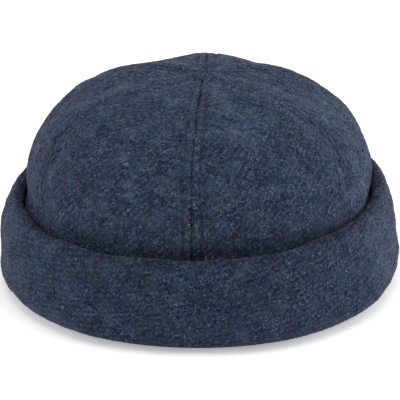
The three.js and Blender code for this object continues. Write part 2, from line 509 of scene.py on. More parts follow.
def gore_piece(number):
    angle, place, width = gore_grid(number, crown_along)
    distance = np.minimum(place, width - place)
    outer, inner, _ = gore_surface(number, angle, crown_along[None, :], distance, width)

    pull = seam_pull(number, gore_share(number, angle), width)
    # Painted shade: darker in the groove and under the stitches, and inside along the seam and raw
    # edges.
    pressed = pull * hump(distance, PAINTED_SHADE_REACH)
    pressed += PINCH_PAINTED_SHADE * pull * hump(distance - TOPSTITCH, PAINTED_SHADE_REACH)
    raw_edge = hump(distance - ALLOWANCE - RAW_EDGE_ASIDE, RAW_EDGE_REACH)
    inside = INSIDE_PAINTED_SHADE * np.maximum(pressed, raw_edge) * smoothstep(width, *SPARE_WIDTHS)
    height = gore_height(number, crown_along)
    flat = np.stack([place - width / 2, np.broadcast_to(height, place.shape)], axis=-1)
    marks = {
        "pressed": np.concatenate([pressed.ravel(), inside.ravel()]),
        "cloth": np.tile(flat.reshape(-1, 2), (2, 1)),
    }
    print(f"{GORES[number]} is cut {width[0, 0]:.0f} mm wide and {height[-1]:.0f} mm long")
    points = np.stack([outer, inner]).reshape(-1, 3)
    piece = mesh_piece(GORES[number] + "_cloth", points, sheet_faces(*distance.shape), marks)
    return piece, outer, pressed


gore_pieces, gore_outsides, gore_painted_shade = zip(*(gore_piece(number) for number in range(len(GORES))))

# %% [markdown]
# The cuff is one strip, folded double along its top edge. Its section is the cloth's path moved half
# a thickness to either side, with the two cut edges rounded. The face that shows gets close rows, and
# the hidden one inside the fold gets wide ones: points are spent where the eye can see them.

# %% Section of the cuff
SHOWN_FACE_ROWS = 58
HIDDEN_FACE_ROWS = 24
FOLD_SHARE = 0.56  # how far along its path the cloth passes the fold
END_STEPS = 4
END_ROUND = 0.55  # how far a rounded edge stands out, beside half the thickness


def cuff_offset(share, side):
    """The cloth's path moved to one of its two faces, which side says with 1 or -1."""
    ahead = cuff_line(np.minimum(share + SHORT_STEP, 1)) - cuff_line(np.maximum(share - SHORT_STEP, 0))
    ahead /= np.linalg.norm(ahead, axis=-1, keepdims=True)
    aside = np.stack([ahead[..., 1], -ahead[..., 0]], axis=-1)
    return cuff_line(share) + aside * side * CLOTH / 2


def round_edge(share, outwards):
    """The rounded cut edge at one end of the cloth, from its under side to its upper side."""
    turn = np.linspace(0, math.pi, END_STEPS + 2)[1:-1]
    middle = cuff_line(np.array(share))
    under = cuff_offset(np.array(share), 1) - middle
    ahead = np.array([-under[1], under[0]]) * outwards * END_ROUND
    return middle + np.cos(turn)[:, None] * under + np.sin(turn)[:, None] * ahead


shown_share = np.concatenate([
    np.linspace(0, FOLD_SHARE, SHOWN_FACE_ROWS, endpoint=False),
    np.linspace(FOLD_SHARE, 1, HIDDEN_FACE_ROWS),
])
hidden_share = np.linspace(1, 0, HIDDEN_FACE_ROWS)
cuff_section = np.vstack([
    cuff_offset(shown_share, 1),
    round_edge(1, 1),
    cuff_offset(hidden_share, -1),
    round_edge(0, -1)[::-1],
])
section_share = np.concatenate([
    shown_share, np.ones(END_STEPS), hidden_share, np.zeros(END_STEPS),
])
print(f"the cuff's section has {len(cuff_section)} points")

# %% [markdown]
# The section is turned once round the rim. A cuff isn't turned up evenly by hand: its top edge rises
# to the wearer's left and leans to the right, and the cloth has settled at the two ends, which shows
# in the outline. The strip's ends are sewn together at the back, so the columns lie closest there.

# %% Cuff round the rim
CUFF_TURNS = (8, 41.1)  # the rise and the lean begin between these heights
CUFF_RISE_LEFT = 1.8
CUFF_RISE_SIDES = 0.6
CUFF_RISE_BACK = 0.8
CUFF_LEAN = 0.7
# Where it has settled, at the wearer's left end for 1 and the right end for -1: height, how far up
# and down it reaches, and how far the cuff stands out there.
CUFF_SETTLED = [
    ("right end, below the fold", -1, 30, 6, 1.0),
    ("right end, half way down", -1, 14, 6, -1.5),
    ("left end, half way down", 1, 18, 7, -0.7),
]
CUFF_ENDS = (0.5, 1)  # as a share of the way from the middle to the end
CUFF_COLUMNS = 560
JOIN_REACH = 6  # the columns lie close together this far from the join
JOIN_COLUMNS = 16
JOIN_CROWDING = 1.4  # above 1, they lie closest at the join itself
CUFF_WIDEST = max(out for out, _ in CUFF_PATH)


def cuff_points(angle, section):
    out, height = section[..., 0], section[..., 1]
    x, y = plan_point(angle, out, out + RIM_STRETCH)
    for _, side, middle, reach, aside in CUFF_SETTLED:
        at_end = smoothstep(side * np.cos(angle), *CUFF_ENDS)
        x = x + side * aside * hump(height - middle, reach) * at_end
    lift = CUFF_RISE_LEFT * np.cos(angle) + CUFF_RISE_SIDES * np.cos(2 * angle)
    lift = lift + CUFF_RISE_BACK * np.sin(angle)
    turned_up = smoothstep(height, *CUFF_TURNS)
    return np.stack([x - CUFF_LEAN * turned_up, y, height + lift * turned_up], axis=-1)


join_turn = JOIN_REACH / CUFF_WIDEST
beside_join = join_turn * np.linspace(0, 1, JOIN_COLUMNS, endpoint=False) ** JOIN_CROWDING
cuff_turn = np.concatenate([
    beside_join,
    np.linspace(join_turn, 2 * math.pi - join_turn, CUFF_COLUMNS),
    2 * math.pi - beside_join[:0:-1],
])
cuff_angle = math.pi / 2 + cuff_turn
cuff_smooth = cuff_points(cuff_angle[:, None], cuff_section[None, :, :])

rim = plan_point(cuff_angle, CUFF_WIDEST, CUFF_WIDEST + RIM_STRETCH)
rim_steps = np.hypot(*(np.roll(side, -1) - side for side in rim))
rim_length = rim_steps.sum()
around = np.r_[0, np.cumsum(rim_steps[:-1])][:, None]
print(f"the cuff's strip is {rim_length:.0f} mm round")

# %% [markdown]
# The finer forms follow: soft unevenness, and the groove and pinches of the join. They fade at the
# bottom, because there the cap's own weight presses the cloth flat on what it stands on. The strip is
# cut aslant, as cuffs that must stretch over a head are, so its ribs run nearly along it.

# %% Surface of the cuff
CUFF_BUMPS = [(0.28, 38, 4), (0.12, 13, 5), (0.035, 4.5, 6)]
CUFF_RESTS = (0.3, 5)  # the finer forms begin between these heights
FOLD_MIDDLE = 0.565
FOLD_WIDTH = 0.04  # both as shares of the cloth's path
FOLD_PAINTED_SHADE = 0.9  # how dark the painted shade is along the fold, where the nap is pressed
JOIN_PAINTED_SHADE = 0.7  # and under the stitches of the join, also painted shade
BIAS = math.radians(35)


def ring_normals(points):
    """Which way each point of a grid faces, where the grid closes on itself both ways."""
    along = np.roll(points, -1, axis=1) - np.roll(points, 1, axis=1)
    around = np.roll(points, -1, axis=0) - np.roll(points, 1, axis=0)
    normal = np.cross(around, along)
    return normal / np.linalg.norm(normal, axis=-1, keepdims=True)


from_join = np.minimum(around, rim_length - around)
join_groove = hump(from_join, ROLL_REACH)
join_pinch = hump(from_join - TOPSTITCH, PINCH_REACH)
cuff_relief = bumps(cuff_smooth, CUFF_BUMPS) - GROUND
cuff_relief -= ROLL_DEPTH * join_groove + PINCH_DEPTH * join_pinch
cuff_relief *= smoothstep(cuff_smooth[..., 2], *CUFF_RESTS)
cuff_normal = ring_normals(cuff_smooth)
cuff_surface = cuff_smooth + cuff_normal * cuff_relief[..., None]
cuff_surface[..., 2] = np.maximum(cuff_surface[..., 2], 0)

up_strip = (section_share * cuff_length)[None, :]
aslant = np.stack([
    around * math.cos(BIAS) - up_strip * math.sin(BIAS),
    around * math.sin(BIAS) + up_strip * math.cos(BIAS),
], axis=-1)
fold = hump(section_share - FOLD_MIDDLE, FOLD_WIDTH)
# Painted shade: darker in the groove and under the stitches of the join, and along the fold.
cuff_painted_shade = np.maximum(join_groove + JOIN_PAINTED_SHADE * join_pinch, FOLD_PAINTED_SHADE * fold)
cuff_piece = mesh_piece(
    "cuff_cloth",
    cuff_surface.reshape(-1, 3),
    grid_faces(*cuff_surface.shape[:2], wrap_rows=True, wrap_columns=True),
    {"cloth": aslant.reshape(-1, 2), "pressed": cuff_painted_shade.ravel()},
)

# %% [markdown]
# Topstitching is thread, so it is modelled as thread: each stitch is a short closed tube that rises
# out of the cloth, lies in the pinched groove and dives in again. All the stitches of a seam are one
# joined mesh made by array arithmetic, since a separate object for each would slow everything down.

# %% Stitches as tubes
STITCH_RINGS = 5
STITCH_SIDES = 6
THREAD = 0.18  # half the thread's thickness
THREAD_SLIMS = 0.3  # how much of that is lost at the ends of a stitch

along_stitch = np.linspace(0, 1, STITCH_RINGS)
from_middle = 2 * along_stitch - 1  # -1 at one end of the stitch, 1 at the other
thread_radius = THREAD * (1 - THREAD_SLIMS * np.abs(from_middle) ** 3)


def tubes(middle, up):
    """Closed tubes of thread: middle is tube by ring by 3, and up is tube by 3."""
    ahead = np.gradient(middle, axis=1)
    ahead /= np.linalg.norm(ahead, axis=-1, keepdims=True)
    side = np.cross(ahead, up[:, None, :])
    side /= np.linalg.norm(side, axis=-1, keepdims=True)
    over = np.cross(side, ahead)
    turn = np.linspace(0, 2 * math.pi, STITCH_SIDES, endpoint=False)
    spoke = np.cos(turn)[:, None] * side[:, :, None] + np.sin(turn)[:, None] * over[:, :, None]
    points = middle[:, :, None] + spoke * thread_radius[None, :, None, None]
    return points.reshape(len(middle), -1, 3)


def tube_faces(rings, sides):
    faces = grid_faces(rings, sides, wrap_columns=True)[:, ::-1]
    last = (rings - 1) * sides
    for k in range(sides // 2 - 1):
        low = [k, k + 1, sides - 2 - k, sides - 1 - k]
        high = [last + c for c in reversed(low)]
        faces = np.vstack([faces, [low], [high]])
    return faces


def repeat_faces(faces, copies, points_each):
    return (faces[None] + np.arange(copies)[:, None, None] * points_each).reshape(-1, faces.shape[1])


# %% [markdown]
# A row of stitches follows a line on the cloth. Each one is measured off along it, with a short gap
# before the next, and arches: its middle lies on the cloth and its two ends are sunk into it.

# %% One row of stitches
STITCH = 2.5
STITCH_PITCH = 3.1
FIRST_STITCH = 1.5  # from the start of the row
STITCH_SINK = 0.5  # how deep its ends are in the cloth
STITCH_RISE = 0.3  # how high its middle lies, beside the thread's own half thickness


def stitch_row(surface, up):
    """The tubes of a row of stitches along a line on the cloth."""
    length = run_length(surface)
    start = np.arange(FIRST_STITCH, length[-1] - STITCH, STITCH_PITCH)
    place = start[:, None] + STITCH * along_stitch
    middle = np.stack([np.interp(place, length, surface[:, k]) for k in range(3)], axis=-1)
    away = np.stack([np.interp(start, length, up[:, k]) for k in range(3)], axis=-1)
    away /= np.linalg.norm(away, axis=-1, keepdims=True)
    arch = 1 - from_middle**4
    height = STITCH_RISE * THREAD * arch - STITCH_SINK * (1 - arch)
    return tubes(middle + away[:, None, :] * height[None, :, None], away)


def thread_piece(name, rows):
    points = np.concatenate(rows)
    one_stitch = tube_faces(STITCH_RINGS, STITCH_SIDES)
    faces = repeat_faces(one_stitch, len(points), STITCH_RINGS * STITCH_SIDES)
    return mesh_piece(name, points.reshape(-1, 3), faces)


# %% [markdown]
# Each seam of the crown has two rows, one on either gore, and they show on both sides of the cloth.
# The join of the cuff has two rows more, which go up its shown face and over the fold. A row beside a
# seam ends where the gores are too narrow for it.

# %% Rows of topstitching
SEAMS = ["front", "front_left", "back_left", "back", "back_right", "front_right"]
ROW_ENDS = 2 * TOPSTITCH + 3  # the width of the gore at which the rows end
ROW_BEGINS = 0.5 * HIDDEN_SHARE
JOIN_ROW = (0.06, 0.72)  # from under the rim to inside the fold, as shares of the cloth's path


def topstitch_line(number, beside_last):
    """The line of a topstitching row on one gore, beside its first or its last seam."""
    angle, place, width = gore_grid(number, crown_along)
    rows = np.flatnonzero((width[0] > ROW_ENDS) & (crown_along > ROW_BEGINS))
    aside = width[0, rows] - TOPSTITCH if beside_last else np.full(len(rows), TOPSTITCH)
    at = np.array([np.interp(a, place[:, j], angle[:, j]) for a, j in zip(aside, rows)])
    from_seam = np.full(len(rows), TOPSTITCH)
    return gore_surface(number, at, crown_along[rows], from_seam, width[0, rows])


def seam_thread(seam):
    rows = []
    for number, beside_last in ((seam, False), ((seam - 1) % len(GORES), True)):
        outer, inner, normal = topstitch_line(number, beside_last)
        rows += [stitch_row(outer, normal), stitch_row(inner, -normal)]
    return thread_piece(SEAMS[seam] + "_seam_thread", rows)


def join_thread():
    low, high = JOIN_ROW
    up = np.flatnonzero((shown_share > low) & (shown_share < high))
    rows = []
    for aside in (TOPSTITCH, rim_length - TOPSTITCH):
        column = np.argmin(np.abs(around[:, 0] - aside))
        rows.append(stitch_row(cuff_surface[column, up], cuff_normal[column, up]))
    return thread_piece("cuff_join_thread", rows)


thread_pieces = [seam_thread(seam) for seam in range(len(SEAMS))] + [join_thread()]

# %% [markdown]
# Felting lifts fibres out of the yarns and mats them into small tufts that lie every way over the
# cloth. They give the wool its depth: light ones over dark gaps, a soft line along every edge, and
# seams that the nap half closes. Particle hair would be the usual tool, but its strands aren't solid
# bodies. Here each tuft is a slim closed spindle with a bend: its root is in the cloth, its belly
# lies on it, and its tip goes back in or, for a few, stands clear.

# %% Tufts
TUFT_LENGTH = 1.8
TUFT_RADIUS = 0.2
TUFT_SIZES = (0.5, 1.5)  # from the smallest tuft to the largest, beside these
TUFT_FLATNESS = 0.45  # how high a tuft is for its width
TUFT_RISE = 0.08  # how high its belly lies over the cloth
TUFT_RISES = (-0.2, 1.6)  # from the lowest to the highest, beside this
TUFT_BEND = 0.4  # how far aside the belly may lie, beside half the length
ROOT_DEPTH = 0.12
TIP_DEPTH = 0.1
LOOSE_SHARE = 0.05  # the tufts whose tips stand clear
LOOSE_RISE = 0.55
LOOSE_RISES = (0.2, 1)  # from the lowest tip to the highest, beside this


def scatter(grid, wanted, pressed, count, random):
    """Places spread evenly over the wanted faces of a grid, which way they face, and the painted shade
    there.
    """
    corner = grid[:-1, :-1].reshape(-1, 3)
    ahead = (grid[1:, :-1] - grid[:-1, :-1]).reshape(-1, 3)
    aside = (grid[:-1, 1:] - grid[:-1, :-1]).reshape(-1, 3)
    normal = np.cross(ahead, aside)
    area = np.maximum(np.linalg.norm(normal, axis=-1), 1e-9)
    chance = area * wanted[:-1, :-1].ravel()
    face = random.choice(len(area), count, p=chance / chance.sum())
    u, v = random.random((2, count, 1))
    place = corner[face] + ahead[face] * u + aside[face] * v
    return place, normal[face] / area[face, None], pressed[:-1, :-1].ravel()[face]


def tuft_points(place, normal, random):
    """Root, three points round the belly, and tip of each tuft."""
    count = len(place)
    across = np.cross(normal, random.normal(size=(count, 3)))
    across /= np.linalg.norm(across, axis=-1, keepdims=True)
    ahead = np.cross(across, normal)
    half = TUFT_LENGTH / 2 * random.uniform(*TUFT_SIZES, (count, 1))
    radius = TUFT_RADIUS * random.uniform(*TUFT_SIZES, (count, 1))
    rise = TUFT_RISE * random.uniform(*TUFT_RISES, (count, 1))
    tip_rise = np.full((count, 1), -TIP_DEPTH)
    loose = random.random(count) < LOOSE_SHARE
    tip_rise[loose] = LOOSE_RISE * random.uniform(*LOOSE_RISES, (loose.sum(), 1))
    bend = across * half * random.uniform(-TUFT_BEND, TUFT_BEND, (count, 1))
    belly = place + normal * rise + bend
    root = place - ahead * half - normal * ROOT_DEPTH
    tip = place + ahead * half + normal * tip_rise
    ring = [
        belly + (normal * TUFT_FLATNESS * math.cos(turn) + across * math.sin(turn)) * radius
        for turn in (0, 2 * math.pi / 3, 4 * math.pi / 3)
    ]
    return np.stack([root, *ring, tip], axis=1)


# %% [markdown]
# Each tuft takes one of nine tones. Five go from dark to pale, and are chosen by how light the wool
# is at that place. The other four are tints that come in patches. Neighbouring tufts tend to the same
# tone, because the wool was blended by the lock and not by the fibre. Where the mark of painted shade
# lies, in grooves, under stitches and along the fold, the tufts take darker tones: painted shade.

# %% Tones of the nap
TONES = ["dark", "navy", "middle", "light", "pale", "blue", "violet", "green", "olive"]
LIGHTNESS_STEPS = [-0.6, 0.1, 0.8, 2.1]  # where one tone passes to the next lighter one
LIGHTNESS_PATCHES = [(0.6, 3.2, 21), (0.5, 11, 22)]
LIGHTNESS_CHANCE = 0.6  # how far single tufts differ from the patch that they are in
TINT_PATCHES = [(0.9, 9, 20), (0.9, 4.5, 50)]
TINT_CHANCE = 0.3
TINT_RARITY = 1.9  # the higher, the fewer tufts are tinted
# Painted shade: how much darker the tufts are made where the mark of painted shade lies.
TUFT_PAINTED_SHADE = 0.7


def tuft_tones(place, pressed, random):
    """The number of each tuft's tone."""
    # The tone is darkened by the painted shade of its place.
    lightness = bumps(place, LIGHTNESS_PATCHES) - TUFT_PAINTED_SHADE * pressed
    lightness += LIGHTNESS_CHANCE * random.normal(size=len(place))
    tone = np.searchsorted(LIGHTNESS_STEPS, lightness)
    for number in range(TONES.index("blue"), len(TONES)):
        patches = [(height, width, seed + number) for height, width, seed in TINT_PATCHES]
        strength = bumps(place, patches) + TINT_CHANCE * random.normal(size=len(place))
        tone[(strength > TINT_RARITY) & (tone > 0)] = number
    return tone


# %% [markdown]
# The tufts are scattered over the faces by their area, on the crown above what the cuff hides and on
# the shown half of the cuff, with more along its fold, where the cloth is bent and its nap opens.

# %% Nap
CROWN_TUFTS = 9000  # on each gore
CUFF_TUFTS = 32000
CROWN_NAP_FROM = 33  # heights: below the first the cuff hides the crown's nap
CUFF_NAP_FROM = 1.0
CUFF_PAINTED_SHADE = 0.25  # painted shade: the cuff's nap is made darker all over, as by this much more of that mark

one_tuft = np.array([
    [0, 2, 1], [0, 3, 2], [0, 1, 3],
    [4, 1, 2], [4, 2, 3], [4, 3, 1],
])


def nap_piece(name, grid, wanted, pressed, count, seed):
    random = np.random.default_rng(seed)
    place, normal, pressed = scatter(grid, wanted, pressed, count, random)
    points = tuft_points(place, normal, random)
    faces = repeat_faces(one_tuft, count, points.shape[1])
    piece = mesh_piece(name, points.reshape(-1, 3), faces)
    tones = np.repeat(tuft_tones(place, pressed, random), len(one_tuft))
    piece.data.polygons.foreach_set("material_index", tones.astype(np.int32))
    return piece


nap_pieces = []
for number, outside in enumerate(gore_outsides):
    shown = (outside[..., 2] > CROWN_NAP_FROM).astype(float)
    name = GORES[number] + "_nap"
    # The tufts of each gore take its painted shade.
    pressed = gore_painted_shade[number]
    nap_pieces.append(nap_piece(name, outside, shown, pressed, CROWN_TUFTS, seed=30 + number))

closed_ring = np.concatenate([cuff_surface, cuff_surface[:1]])
# Painted shade: the cuff's nap is darker in its groove and along its fold, and a little all over.
closed_painted_shade = np.concatenate([cuff_painted_shade, cuff_painted_shade[:1]]) + CUFF_PAINTED_SHADE
outer_rows = np.arange(closed_ring.shape[1]) < SHOWN_FACE_ROWS + HIDDEN_FACE_ROWS // 2
shown = outer_rows * (closed_ring[..., 2] > CUFF_NAP_FROM) * (1 + fold)
nap_pieces.append(nap_piece("cuff_nap", closed_ring, shown, closed_painted_shade, CUFF_TUFTS, seed=40))

# %% [markdown]
# A material is a small sum over the surface, so it is written as one. The class below stands for a
# number at every point of the surface: adding or multiplying two of them adds the Math node that
# does it.

# %% Sums of sockets
class Socket:
    def __init__(self, shader, output):
        self.shader = shader
        self.output = output

    def other(self, name):
        """Another output of the same node."""
        return Socket(self.shader, self.output.node.outputs[name])

    def math(self, operation, *values):
        sockets = dict(enumerate(values))
        return self.shader.node("ShaderNodeMath", {"operation": operation}, sockets)

    def __add__(self, other):
        return self.math("ADD", self, other)

    def __radd__(self, other):
        return self.math("ADD", other, self)

    def __sub__(self, other):
        return self.math("SUBTRACT", self, other)

    def __rsub__(self, other):
        return self.math("SUBTRACT", other, self)

    def __mul__(self, other):
        return self.math("MULTIPLY", self, other)

    def __rmul__(self, other):
        return self.math("MULTIPLY", other, self)

    def maximum(self, other):
        return self.math("MAXIMUM", self, other)

    def floor(self):
        return self.math("FLOOR", self)

    def fract(self):
        return self.math("FRACT", self)

    def sine(self):
        return self.math("SINE", self)


# %% [markdown]
# Everything else, from textures to the shader itself, comes from one method that makes a node, sets
# it and fills its sockets. A few short methods stand on it, for the nodes that both wools use often.

# %% Nodes of a material
NOISE_ROUGHNESS = 0.6


class Shader:
    def __init__(self, name):
        self.material = bpy.data.materials.new(name)
        self.material.use_nodes = True
        self.tree = self.material.node_tree
        self.tree.nodes.clear()

    def node(self, kind, settings=None, sockets=None, output=0):
        made = self.tree.nodes.new(kind)
        for key, value in (settings or {}).items():
            if key == "stops":
                ramp = made.color_ramp
                while len(ramp.elements) < len(value):
                    ramp.elements.new(1)
                for element, (place, colour) in zip(ramp.elements, value):
                    element.position = place
                    element.color = (*colour, 1)
            elif key == "interpolation":
                made.color_ramp.interpolation = value
            else:
                setattr(made, key, value)
        for key, value in (sockets or {}).items():
            if isinstance(value, Socket):
                self.tree.links.new(value.output, made.inputs[key])
            else:
                made.inputs[key].default_value = value
        return None if output is None else Socket(self, made.outputs[output])

    def mix(self, factor, first, second, blend="MIX"):
        """A mix of two colours. Among the Mix node's many sockets they are 6 and 7, and 2 comes out."""
        settings = {"data_type": "RGBA", "blend_type": blend}
        return self.node("ShaderNodeMix", settings, {0: factor, 6: first, 7: second}, 2)

    def within(self, value, low, high):
        """0 where the value is low, 1 where it is high, and a straight line between."""
        sockets = {"Value": value, "From Min": low, "From Max": high}
        return self.node("ShaderNodeMapRange", {"clamp": True}, sockets)

    def ramp(self, value, stops, interpolation="LINEAR"):
        settings = {"stops": stops, "interpolation": interpolation}
        return self.node("ShaderNodeValToRGB", settings, {"Fac": value})

    def vector(self, operation, *values):
        return self.node("ShaderNodeVectorMath", {"operation": operation}, dict(enumerate(values)))

    def noise(self, where, width, detail, output="Fac"):
        sockets = {"Vector": where, "Scale": 1 / width, "Detail": detail, "Roughness": NOISE_ROUGHNESS}
        return self.node("ShaderNodeTexNoise", {}, sockets, output)

    def streaks(self, where, size, turn=(0, 0, 0)):
        """Noise drawn out to a size, which may be turned."""
        sockets = {"Vector": where, "Rotation": turn, "Scale": tuple(1 / s for s in size)}
        return self.noise(self.node("ShaderNodeMapping", {}, sockets), 1.0, 1.0)

    def finish(self, **sockets):
        """The surface itself. Its sockets' names are given with _ for a space."""
        filled = {name.replace("_", " "): value for name, value in sockets.items()}
        surface = self.node("ShaderNodeBsdfPrincipled", {}, filled, "BSDF")
        self.node("ShaderNodeOutputMaterial", {}, {"Surface": surface}, None)
        return self.material


# %% [markdown]
# Melange wool is blended before it is spun: most fibres are a dull navy, many are lighter blue-grey,
# and a few are nearly black, olive or bright blue. The same nine tones serve the cloth and the tufts
# of its nap. They are written as a screen shows them, because that is how a photograph is read, and
# turned into the linear values that nodes use.

# %% Tones of the wool
def colour(red, green, blue):
    """A colour from 0 to 255, as a screen shows it, in linear values."""
    shares = [c / 255 for c in (red, green, blue)]
    return tuple(c / 12.92 if c <= 0.04045 else ((c + 0.055) / 1.055) ** 2.4 for c in shares)


WOOL = {
    "dark": colour(16, 24, 44),
    "navy": colour(35, 44, 67),
    "middle": colour(65, 75, 98),
    "light": colour(99, 110, 130),
    "pale": colour(122, 134, 154),
    "blue": colour(53, 73, 108),
    "violet": colour(75, 76, 106),
    "green": colour(67, 82, 93),
    "olive": colour(84, 88, 88),
}

# %% [markdown]
# Under the nap lies the twill, in the flat cloth's own millimetres: each yarn passes over two others
# and under two, one step further along in every row, so the long floats line up as slanting ribs.
# Over it lies the felt: clumps about a millimetre wide, and short streaks of fibre in three
# directions, from the place in space.

# %% Twill and felt
YARN = 0.81  # from one yarn to the next
YARN_STREAK = (0.32, 2.4, 1)  # across and along a yarn
FIBRE_STREAK = (0.36, 0.36, 2.0)
FIBRE_TURNS = [(0.3, 0.2, 0.0), (1.5, 0.4, 0.7), (0.5, 1.4, 0.2)]


def twill(wool, cloth):
    """How high the yarns stand, how the ribs run, and each yarn's own streaks."""
    counted = wool.vector("MULTIPLY", cloth, (1 / YARN,) * 3)
    warp = wool.node("ShaderNodeSeparateXYZ", {}, {0: counted})
    weft = warp.other("Y")
    step = warp.floor() - weft.floor()
    warp_over = step.math("LESS_THAN", step.math("FLOORED_MODULO", step, 4.0), 2.0)
    warp_side = 2 * warp.fract() - 1
    weft_side = 2 * weft.fract() - 1
    warp_round = 1 - warp_side * warp_side
    weft_round = 1 - weft_side * weft_side
    height = weft_round + warp_over * (warp_round - weft_round)
    across, along, deep = YARN_STREAK
    warp_tone = wool.streaks(cloth, (across, along, deep))
    weft_tone = wool.streaks(cloth, (along, across, deep))
    tone = weft_tone + warp_over * (warp_tone - weft_tone)
    rib = 0.5 + 0.5 * ((warp - weft) * (math.pi / 2)).sine()
    return height, rib, tone


def fibres(wool, place):
    lines = wool.streaks(place, FIBRE_STREAK, FIBRE_TURNS[0])
    for turn in FIBRE_TURNS[1:]:
        lines = lines.maximum(wool.streaks(place, FIBRE_STREAK, turn))
    return lines


# %% [markdown]
# The colour goes from dark to light with the grain of these layers. Broad soft patches tint it
# towards violet, green or blue, and here and there lies a fleck of one odd fibre that the dye took
# in another way. The flecks are the middles of a few cells out of many, picked by chance.

# %% Colours of the cloth
BASE_STOPS = [(0.0, WOOL["dark"]), (0.4, WOOL["navy"]), (0.7, WOOL["middle"]), (1.0, WOOL["light"])]
FLECK_STOPS = [(0.0, WOOL["pale"]), (0.4, WOOL["blue"]), (0.75, WOOL["olive"])]
TINT_WIDTH = 7.0
# Each tint: the noise's own channel that it reads, where it begins and is full, and its share.
TINTS = {
    "violet": ("Red", 0.5, 0.68, 0.32),
    "green": ("Green", 0.5, 0.68, 0.36),
    "blue": ("Blue", 0.52, 0.7, 0.36),
}
FLECK_SPACING = 1.4
FLECK_SIZES = (0.15, 0.45)  # a fleck fades between these distances from its middle
FLECK_CHANCE = (0.90, 0.91)  # one cell in ten has a fleck
FLECK_SHARE = 0.45


def rgba(name):
    return (*WOOL[name], 1)


def tinted(wool, place, below):
    patches = wool.noise(place, TINT_WIDTH, 2.5, "Color")
    channels = wool.node("ShaderNodeSeparateColor", {}, {"Color": patches})
    for name, (channel, low, high, most) in TINTS.items():
        share = wool.within(channels.other(channel), low, high) * most
        below = wool.mix(share, below, rgba(name))
    return below


def flecked(wool, place, below):
    where = {"Vector": place, "Scale": 1 / FLECK_SPACING}
    cells = wool.node("ShaderNodeTexVoronoi", {"feature": "F1"}, where, "Distance")
    pick = wool.node("ShaderNodeSeparateColor", {}, {"Color": cells.other("Color")})
    core = 1 - wool.within(cells, *FLECK_SIZES)
    share = wool.within(pick, *FLECK_CHANCE) * core * FLECK_SHARE
    kind = wool.ramp(pick.other("Green"), FLECK_STOPS, "CONSTANT")
    return wool.mix(share, below, kind)


# %% [markdown]
# The wool puts the layers together. Places are bent by a slow drift first, since nothing in felt runs
# straight. The same layers that colour it make its bump, which roughens the light on them, and a
# little sheen gives the pale bloom that wool shows at its edges. Where the mark of painted shade lies,
# the cloth is darker: painted shade in grooves, under stitches, along the fold and the raw edges.

# %% Wool
# Widths of the patterns, and how far the drift bends the felt and the weave.
DRIFT = 2.4
CLUMP = 1.2
FUZZ = 0.4
BROAD = 16
FELT_BENT = 2.2
CLOTH_BENT = 0.9
GRAIN_RANGE = (0.50, 0.69)
BROAD_LOW = 0.55
BROAD_RISE = 0.9
# Painted shade: how much darker the cloth is made where the mark of painted shade lies.
WOOL_PAINTED_SHADE = 0.25
WOOL_BUMP = 0.5 * MM
PATTERN_STEP = (37, 11, 5)  # each wool takes its patterns from another place


def wool_material(name, seed, lightness=1.0):
    wool = Shader(name)
    place = wool.node("ShaderNodeTexCoord", output="Object")
    start = tuple(seed * step for step in PATTERN_STEP)
    place = wool.vector("MULTIPLY_ADD", place, (1 / MM,) * 3, start)
    drift = wool.vector("SUBTRACT", wool.noise(place, DRIFT, 1.0, "Color"), (0.5,) * 3)
    bent = wool.vector("ADD", place, wool.vector("MULTIPLY", drift, (FELT_BENT,) * 3))
    cloth = wool.node("ShaderNodeAttribute", {"attribute_name": "cloth"}, {}, "Vector")
    loose = wool.vector("ADD", cloth, wool.vector("MULTIPLY", drift, (CLOTH_BENT,) * 3))

    weave, rib, yarn_tone = twill(wool, loose)
    clumps = wool.noise(bent, CLUMP, 2.0)
    lines = fibres(wool, bent)
    # Each layer's share of the grain, and further down of the height.
    felt = 0.40 * clumps + 0.30 * lines + 0.30 * yarn_tone + 0.05 * weave + 0.035 * rib
    base = wool.ramp(wool.within(felt, *GRAIN_RANGE), BASE_STOPS)
    coloured = flecked(wool, bent, tinted(wool, bent, base))

    broad = wool.noise(place, BROAD, 2.0)
    # Painted shade, read from the mark: darker in grooves, under stitches, along the fold and raw
    # edges.
    pressed = wool.node("ShaderNodeAttribute", {"attribute_name": "pressed"}, {}, "Fac")
    level = lightness * (BROAD_LOW + BROAD_RISE * broad) * (1 - WOOL_PAINTED_SHADE * pressed)
    grey = wool.node("ShaderNodeCombineColor", {}, {"Red": level, "Green": level, "Blue": level})

    fuzz = wool.noise(bent, FUZZ, 2.0)
    height = 0.5 * clumps + 0.3 * lines + 0.25 * fuzz + 0.12 * weave + 0.08 * rib
    raised = {"Strength": 0.6, "Distance": WOOL_BUMP, "Height": height}
    return wool.finish(
        Base_Color=wool.mix(1.0, coloured, grey, "MULTIPLY"),
        Roughness=0.86 + 0.14 * fuzz,
        Specular_IOR_Level=0.1,
        Sheen_Weight=0.2,
        Sheen_Roughness=0.3,
        Sheen_Tint=(0.56, 0.62, 0.76, 1),
        Normal=wool.node("ShaderNodeBump", {}, raised, "Normal"),
    )


crown_wool = wool_material("crown_wool", seed=1)
# Painted shade: the cuff has the crown's wool, made a tenth darker all over.
cuff_wool = wool_material("cuff_wool", seed=2, lightness=0.9)
print(f"each wool has {len(crown_wool.node_tree.nodes)} nodes")

# %% [markdown]
# A tuft is too small to have a pattern of its own, so each tone is one plain, matt material with a
# sheen. The pattern of the nap comes from thousands of tufts in nine tones. Sewing thread is smoother
# than wool and darker, and its plies show as a fine grain.

# %% Tufts' tones and thread
PLY = 0.3125
PLY_BUMP = 0.1 * MM
THREAD_STOPS = [(0.3, colour(12, 15, 28)), (0.7, colour(34, 40, 58))]


